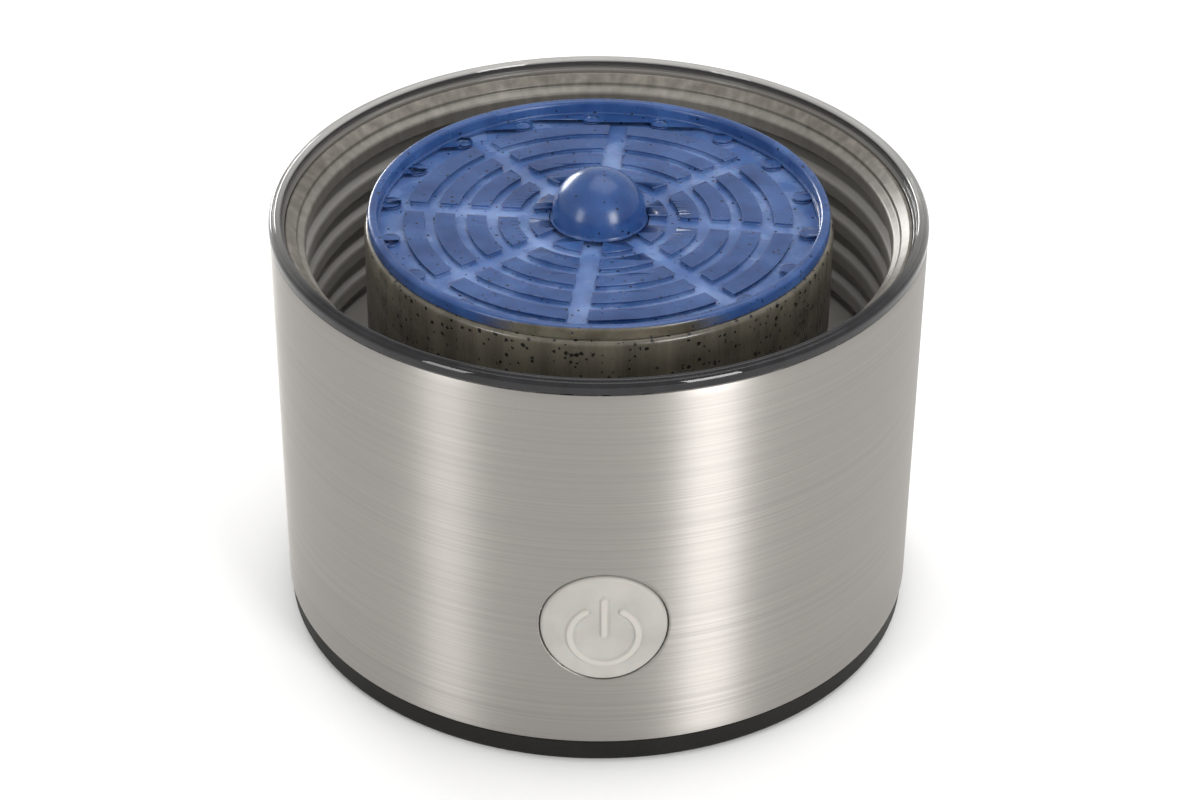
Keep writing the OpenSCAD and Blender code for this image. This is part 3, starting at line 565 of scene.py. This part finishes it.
tree.links.new(bump.outputs[0], surface.inputs["Normal"])
fit(drum, "drum_cup", "drum", smoky)


# ---- Slotted lid
# One moulding in translucent blue polycarbonate: a plate with eight spokes between five
# rings of blind slots, a border of eighteen dimples, a raised rim and a hollow knob.

lid_r = drum_r - 0.6
plate_r = lid_r - 1.7
lid_skirt_r = drum_in_r - 0.2
plate_z0 = lid_z - 1.8
slot_z = lid_z - 0.7
slot_w, slot_r0, slot_pitch, slot_rings = 2.8, 10.0, 5.25, 5
spokes, spoke_w, spoke_turn = 8, 3.8, radians(-7.4)
dimples, dimple_r, dimple_turn = 18, 1.42, radians(11.1)
dimple_ring_r = plate_r - 1.7
knob_r, knob_t, knob_lift = 7.9, 1.6, 0.8
skirt_t, skirt_h = 1.1, 3
rim_z = lid_z + 2.3
edge = 0.28


def ring_points(centre, radius, count):
    """Points of a circle in the plane."""
    return [(centre[0] + radius * cos(2 * pi * i / count), centre[1] + radius * sin(2 * pi * i / count))
            for i in range(count)]


def slot_points(radius, first, count=22):
    """Outline of a slot that runs from one spoke's edge to the next one's."""
    points = []
    for r, way in ((radius + slot_w / 2, 1), (radius - slot_w / 2, -1)):
        lean = asin(spoke_w / 2 / r)
        start, end = first + lean, first + 2 * pi / spokes - lean
        arc = [start + (end - start) * i / count for i in range(count + 1)][::way]
        points += [(r * cos(a), r * sin(a)) for a in arc]
    return points


outlines = [ring_points((0, 0), plate_r + 0.2, 192)]
for k in range(slot_rings):
    for i in range(spokes):
        start = spoke_turn + i * 2 * pi / spokes
        outlines.append(slot_points(slot_r0 + k * slot_pitch, start)[::-1])
for i in range(dimples):
    turn = dimple_turn + i * 2 * pi / dimples
    middle = (dimple_ring_r * cos(turn), dimple_ring_r * sin(turn))
    outlines.append(ring_points(middle, dimple_r, 24)[::-1])
sheet = bpy.data.curves.new("slotted_sheet", "CURVE")
sheet.dimensions = "2D"
sheet.fill_mode = "BOTH"
sheet.extrude = (lid_z - slot_z) / 2 + 0.1 - edge
sheet.bevel_depth = edge
sheet.bevel_resolution = 2
sheet.offset = -edge
for points in outlines:
    spline = sheet.splines.new("POLY")
    spline.points.add(len(points) - 1)
    for point, (x, y) in zip(spline.points, points):
        point.co = (x, y, 0, 1)
    spline.use_cyclic_u = True
sheet_object = bpy.data.objects.new("slotted_sheet", sheet)
scene.collection.objects.link(sheet_object)
evaluated = sheet_object.evaluated_get(bpy.context.evaluated_depsgraph_get())
plate_mesh = bpy.data.meshes.new_from_object(evaluated)
bpy.data.objects.remove(sheet_object)
middle_z = (lid_z + slot_z) / 2 - 0.1
lid_verts = [(v.co.x, v.co.y, v.co.z + middle_z) for v in plate_mesh.vertices]
lid_faces = [list(p.vertices) for p in plate_mesh.polygons]


def add_part(verts, faces, at=(0, 0, 0)):
    """Adds another closed form to the lid's moulding."""
    shift = len(lid_verts)
    lid_verts.extend(Vector(v) + Vector(at) for v in verts)
    lid_faces.extend([k + shift for k in face] for face in faces)


under_plate = rounded([
    (0, plate_z0, 0), (lid_skirt_r - skirt_t, plate_z0, 0.3),
    (lid_skirt_r - skirt_t, plate_z0 - skirt_h, 0.3), (lid_skirt_r, plate_z0 - skirt_h, 0.3),
    (lid_skirt_r, slot_z, 0), (0, slot_z, 0)])
add_part(*turned(under_plate, 192))
add_part(*turned(rounded([
    (plate_r - 0.3, lid_z - 0.4, 0), (lid_skirt_r, lid_z - 1, 0), (lid_skirt_r, lid_z + 0.02, 0),
    (lid_r, lid_z + 0.02, 0.25), (lid_r, rim_z, 0.8), (plate_r, rim_z, 0.8),
    (plate_r, lid_z + 0.02, 0.3), (plate_r - 0.3, lid_z + 0.01, 0)]), 256))


def dome(radius, steps):
    """Outline of the knob's ball from the plate up to its top."""
    low = -asin((knob_lift + 0.1) / radius)
    turns = [low + (pi / 2 - low) * i / steps for i in range(steps)]
    middle = lid_z + knob_lift
    arc = [Vector((radius * cos(a), middle + radius * sin(a))) for a in turns]
    return arc + [Vector((0, middle + radius))]


add_part(*turned([Vector((knob_r + 0.5, lid_z - 0.1)), Vector((knob_r + 0.1, lid_z + 0.1))]
                 + dome(knob_r, 24)[1:] + dome(knob_r - knob_t, 12)[::-1], 96))
lid = stand_in("blue_slotted_lid", lid_verts, lid_faces)

# The dimples are thin round-bottomed cups, set round the border by a node tree
cup_r, cup_depth, cup_t, cup_z = dimple_r + 0.02, 1.1, 0.2, lid_z - 0.27
bowl = [Vector((0, cup_z - cup_depth))]
for i in range(1, 9):
    turn = pi / 2 * i / 8
    bowl.append(Vector((cup_r * sin(turn), cup_z - cup_depth * cos(turn))))
cup = stand_in("dimple_cup", *turned(bowl + [
    Vector((cup_r + cup_t, cup_z)), Vector((cup_r + cup_t, cup_z - 0.3)),
    Vector((cup_r * 0.6, cup_z - cup_depth - cup_t)), Vector((0, cup_z - cup_depth - cup_t))], 24))
ring_tree = bpy.data.node_groups.new("set_round_a_ring", "GeometryNodeTree")
for name, kind in (("Geometry", "NodeSocketGeometry"), ("Count", "NodeSocketInt"),
                   ("Radius", "NodeSocketFloat"), ("Turn", "NodeSocketFloat"),
                   ("Finish", "NodeSocketMaterial")):
    ring_tree.interface.new_socket(name, in_out="INPUT", socket_type=kind)
ring_tree.interface.new_socket("Geometry", in_out="OUTPUT", socket_type="NodeSocketGeometry")
given = put(ring_tree, "NodeGroupInput").outputs
circle = put(ring_tree, "GeometryNodeMeshCircle", {"Vertices": given["Count"], "Radius": given["Radius"]})
heading = put(ring_tree, "ShaderNodeCombineXYZ", {"Z": given["Turn"]}).outputs[0]
turned_circle = put(ring_tree, "GeometryNodeTransform",
                    {"Geometry": circle.outputs[0], "Rotation": heading}).outputs[0]
copies = put(ring_tree, "GeometryNodeInstanceOnPoints",
             {"Points": turned_circle, "Instance": given["Geometry"]}).outputs[0]
real = put(ring_tree, "GeometryNodeRealizeInstances", {"Geometry": copies}).outputs[0]
shaded = put(ring_tree, "GeometryNodeSetMaterial",
             {"Geometry": real, "Material": given["Finish"]}).outputs[0]
put(ring_tree, "NodeGroupOutput", {"Geometry": shaded})


def set_round(obj, count, radius, turn, finish):
    """Makes obj's mesh into copies of itself that stand round a ring. Radius is in mm."""
    ring = obj.modifiers.new("set_round_a_ring", "NODES")
    ring.node_group = ring_tree
    values = {"Count": count, "Radius": radius * MM, "Turn": turn, "Finish": finish}
    for item in ring_tree.interface.items_tree:
        if item.in_out == "INPUT" and item.name in values:
            ring[item.identifier] = values[item.name]
    evaluated = obj.evaluated_get(bpy.context.evaluated_depsgraph_get())
    whole = bpy.data.meshes.new_from_object(evaluated)
    obj.modifiers.remove(ring)
    obj.data = whole


# Blue polycarbonate: glossy and cloudy inside, with grit specks all over. The bottoms of the
# slots are painted a lighter blue: painted light, as if light came through the thin plate. The
# drum's smoke colour shows low on the rim's outer face in front, where the blue stops short.
blue_shift, blue_r0, blue_r1 = 2.4, 40.75, 40.95
blue, tree, surface = start_finish(
    "blue_polycarbonate", IOR=1.5, Specular_IOR_Level=0.35, Subsurface_Weight=0.4,
    Subsurface_Scale=1.5 * MM)
place = put(tree, "ShaderNodeTexCoord").outputs["Object"]
parts = put(tree, "ShaderNodeSeparateXYZ", {0: place}).outputs
cloud = put(tree, "ShaderNodeTexNoise", {"Vector": place, "Scale": 130.0, "Detail": 5.0}).outputs[0]
plate_blue = put(tree, "ShaderNodeValToRGB", {0: cloud}, stops=[
    (0.3, srgb("#213c6c")), (0.5, srgb("#2d4a7c")), (0.72, srgb("#3a598d"))]).outputs[0]
# painted light: the lighter blue painted on the slot floors, mixed in by depth below the plate
slot_blue_painted_light = put(tree, "ShaderNodeValToRGB", {0: cloud}, stops=[
    (0.3, srgb("#405c92")), (0.5, srgb("#5570a3")), (0.68, srgb("#7991bf"))]).outputs[0]
painted_slot_light_share = put(tree, "ShaderNodeMapRange", {
    "Value": parts[2], "From Min": (lid_z - 0.3) * MM, "From Max": (lid_z - 0.6) * MM}).outputs[0]
blue_with_painted_slot_light = put(tree, "ShaderNodeMix", {"Factor": painted_slot_light_share, "A": plate_blue, "B": slot_blue_painted_light},
               data_type="RGBA").outputs[2]
from_centre = put(tree, "ShaderNodeVectorMath", {0: place, 1: (0, blue_shift * MM, lid_z * MM)},
                  operation="SUBTRACT").outputs[0]
level = put(tree, "ShaderNodeVectorMath", {0: from_centre, 1: (1, 1, 0)}, operation="MULTIPLY").outputs[0]
reach = put(tree, "ShaderNodeVectorMath", {0: level}, operation="LENGTH").outputs["Value"]
bare = put(tree, "ShaderNodeMapRange", {
    "Value": reach, "From Min": blue_r0 * MM, "From Max": blue_r1 * MM}).outputs[0]
smoke = put(tree, "ShaderNodeValToRGB", {0: cloud}, stops=[
    (0.35, srgb("#3a362c")), (0.7, srgb("#6b665a"))]).outputs[0]
edged = put(tree, "ShaderNodeMix", {"Factor": bare, "A": blue_with_painted_slot_light, "B": smoke},
            data_type="RGBA").outputs[2]
grit = specks(tree, place, 0.95, 0.34)
marked = put(tree, "ShaderNodeMix", {"Factor": grit, "A": edged, "B": srgb("#0d1830")}, data_type="RGBA")
gloss = put(tree, "ShaderNodeMapRange", {
    "Value": cloud, "From Min": 0.3, "From Max": 0.7, "To Min": 0.16, "To Max": 0.34}).outputs[0]
tree.links.new(marked.outputs[2], surface.inputs["Base Color"])
tree.links.new(gloss, surface.inputs["Roughness"])
ripple = put(tree, "ShaderNodeTexNoise", {"Vector": place, "Scale": 330.0, "Detail": 3.0}).outputs[0]
bump = put(tree, "ShaderNodeBump", {"Height": ripple, "Strength": 0.25, "Distance": 0.12 * MM})
tree.links.new(bump.outputs[0], surface.inputs["Normal"])
set_round(cup, dimples, dimple_ring_r, dimple_turn, blue)
joined = bmesh.new()
joined.from_mesh(lid.data)
joined.from_mesh(cup.data)
joined.to_mesh(lid.data)
joined.free()
bpy.data.objects.remove(cup)
lid.data.shade_smooth()
keep_flats(lid)
fit(lid, "slotted_lid", "lid", blue)


# ---- Power button
# A soft button moulded in warm grey silicone, curved like the sleeve it stands in, with
# a rounded rim and a raised standby mark. A flange behind the sleeve keeps it in.

sleeve_bore = sleeve_r - sleeve_t
face_r = sleeve_r + 0.35
mark_r, mark_w, mark_drop, mark_gap, mark_proud = 5.55, 1.45, 1.2, radians(32), 0.45
mark_shoulder = 0.34
bar_low, bar_top = mark_w / 2 - 0.5, 7.7 - mark_w / 2
soft, brim, brim_round = 0.6, 0.75, 0.2
stub_r, stub = 2.0, 0.95


def mark_distance(x, up):
    """How far a point of the face is outside the standby mark, less than 0 inside it."""
    up += mark_drop
    turn = abs(atan2(x, up))
    if turn > mark_gap:
        ring = abs(hypot(x, up) - mark_r)
    else:
        ring = hypot(abs(x) - mark_r * sin(mark_gap), up - mark_r * cos(mark_gap))
    bar = hypot(x, up - min(max(up, bar_low), bar_top))
    return min(ring, bar) - mark_w / 2


def raised(x, up):
    """Height of the mark at a point, with a soft shoulder."""
    t = min(max(-mark_distance(x, up) / mark_shoulder, 0), 1)
    return mark_proud * t * t * (3 - 2 * t)


columns, face_rings, shoulder_rings = 320, 84, 7
profile = [(i * (button_r - soft) / face_rings, "face", 0) for i in range(1, face_rings + 1)]
for i in range(1, shoulder_rings + 1):
    turn = pi / 2 * i / shoulder_rings
    profile.append((button_r - soft + soft * sin(turn), "face", soft * (1 - cos(turn))))
profile += [
    (button_r, "bore", button_gap), (button_r + brim - brim_round, "bore", button_gap),
    (button_r + brim, "bore", button_gap + brim_round), (button_r + brim, "back", brim_round),
    (button_r + brim - brim_round, "back", 0), (stub_r, "back", 0), (stub_r, "back", -stub),
]
back_inset = 2.4
back_y = -(sleeve_bore - back_inset)
verts = [(0, -face_r - raised(0, 0), button_z)]
mark_height = [raised(0, 0)]
for r, kind, value in profile:
    for i in range(columns):
        x, up = r * cos(2 * pi * i / columns), r * sin(2 * pi * i / columns)
        lift = raised(x, up) if kind == "face" else 0
        if kind == "face":
            y = -sqrt((face_r + lift - value) ** 2 - x * x)
        elif kind == "bore":
            y = -sqrt((sleeve_bore - value) ** 2 - x * x)
        else:
            y = back_y - value
        verts.append((x, y, button_z + up))
        mark_height.append(lift)
last = len(verts)
verts.append((0, back_y + stub, button_z))
mark_height.append(0)
faces = []
for i in range(columns):
    j = (i + 1) % columns
    faces.append((0, 1 + i, 1 + j))
    for k in range(len(profile) - 1):
        a, b = 1 + k * columns, 1 + (k + 1) * columns
        faces.append((a + i, b + i, b + j, a + j))
    a = 1 + (len(profile) - 1) * columns
    faces.append((a + i, last, a + j))
button = stand_in("silicone_button", verts, faces)
mark = button.data.attributes.new("mark_height", "FLOAT", "POINT")
for item, height in zip(mark.data, mark_height):
    item.value = height / mark_proud

# Silicone rubber: matt, slightly waxy and warm grey, paler where the mark is rubbed
silicone, tree, surface = start_finish(
    "warm_grey_silicone", IOR=1.41, Subsurface_Weight=0.15, Subsurface_Scale=0.6 * MM)
place = put(tree, "ShaderNodeTexCoord").outputs["Object"]
fine = put(tree, "ShaderNodeTexNoise", {"Vector": place, "Scale": 1900.0, "Detail": 3.0}).outputs[0]
cloud = put(tree, "ShaderNodeTexNoise", {"Vector": place, "Scale": 160.0, "Detail": 3.0}).outputs[0]
ground = put(tree, "ShaderNodeValToRGB", {0: cloud}, stops=[
    (0.3, srgb("#94918c")), (0.7, srgb("#a19e99"))]).outputs[0]
height = put(tree, "ShaderNodeAttribute", attribute_name="mark_height").outputs["Fac"]
colour = put(tree, "ShaderNodeMix", {"Factor": height, "A": ground, "B": srgb("#a5a29c")},
             data_type="RGBA")
gloss = put(tree, "ShaderNodeMapRange", {"Value": fine, "To Min": 0.42, "To Max": 0.62}).outputs[0]
bump = put(tree, "ShaderNodeBump", {"Height": fine, "Strength": 0.3, "Distance": 0.02 * MM})
tree.links.new(colour.outputs[2], surface.inputs["Base Color"])
tree.links.new(gloss, surface.inputs["Roughness"])
tree.links.new(bump.outputs[0], surface.inputs["Normal"])
fit(button, "power_button", "button", silicone)


# ---- Springs, platform and hub
# Three coil springs carry a glass-filled nylon platform. Its neck rises through the
# trough's floor and ends in a cream acetal hub that carries and drives the drum.

dress(grained("music_wire_spring", "#77777a", "#a9a9aa", 0.4, 0.3, metallic=1.0), "support_springs")
dress(grained("glass_filled_nylon", "#1d1e21", "#34353a", 0.5, 0.5, relief=0.05),
      "drive_platform", "motor_cup")
dress(grained("cream_acetal", "#b9b5a8", "#d5d2c7", 0.8, 0.3, relief=0.01), "drive_hub")


# ---- Motor and unbalanced weight
# A small brushed motor: a drawn, plated can with ferrite magnets, a nylon end cap and
# bronze bushes. Its ground shaft turns half a disc of brass, held by a set screw.

dress(grained("plated_drawn_steel", "#8f9295", "#babcbe", 1.2, 0.28, metallic=1.0, streak=(1, 1, 0.2)),
      "motor_can")
dress(grained("natural_nylon", "#cbc5b4", "#e2dccd", 0.9, 0.45), "motor_endcap")
dress(grained("sintered_ferrite", "#2a2827", "#45413f", 0.3, 0.6, relief=0.04), "motor_magnets")
dress(grained("sintered_bronze", "#86622f", "#b28a4a", 0.3, 0.4, metallic=1.0), "motor_bushes")
dress(grained("enamelled_copper_winding", "#6d3a1c", "#b0713d", 0.35, 0.3, metallic=0.8,
              relief=0.08, streak=(1, 1, 0.15)), "motor_armature")
dress(grained("ground_steel_shaft", "#a2a3a5", "#c9c9cb", 0.2, 0.16, metallic=1.0, streak=(0.1, 0.1, 1)),
      "motor_shaft")
dress(grained("turned_brass", "#8c6a32", "#bf9a58", 0.25, 0.26, metallic=1.0, streak=(0.15, 0.15, 1)),
      "eccentric_weight")
dress(grained("blackened_steel", "#26262a", "#45454b", 0.3, 0.4, metallic=1.0), "weight_setscrew")


# ---- Switch, board and bracket
# The button presses a tact switch on a green glass-epoxy board. A moulded bracket holds
# the board upright behind the sleeve.

dress(grained("black_acetal", "#1b1b1e", "#2f2f33", 0.5, 0.4), "switch_plunger")
dress(grained("tinned_switch_case", "#6f7174", "#a1a3a6", 0.5, 0.35, metallic=0.7), "tact_switch")
dress(grained("green_solder_mask", "#174a2b", "#2f7a4c", 0.9, 0.32, relief=0.03, streak=(1, 1, 0.3)),
      "control_board")
dress(grained("dark_nylon_bracket", "#2b2c30", "#46474d", 0.5, 0.5, relief=0.04),
      "button_bracket", "jack_clamp")


# ---- Power inlet and wires
# A barrel jack in black thermoplastic with a brass pin, clamped to the pan behind the
# sleeve, and two red PVC wires that run round the bay to the board.

dress(grained("black_thermoplastic", "#141416", "#26262a", 0.4, 0.36), "dc_jack")
dress(grained("brass_pin", "#9a8350", "#cdb884", 0.3, 0.22, metallic=1.0), "jack_contact")
dress(grained("red_pvc", "#7c1d17", "#b03127", 0.8, 0.4), "power_wires")
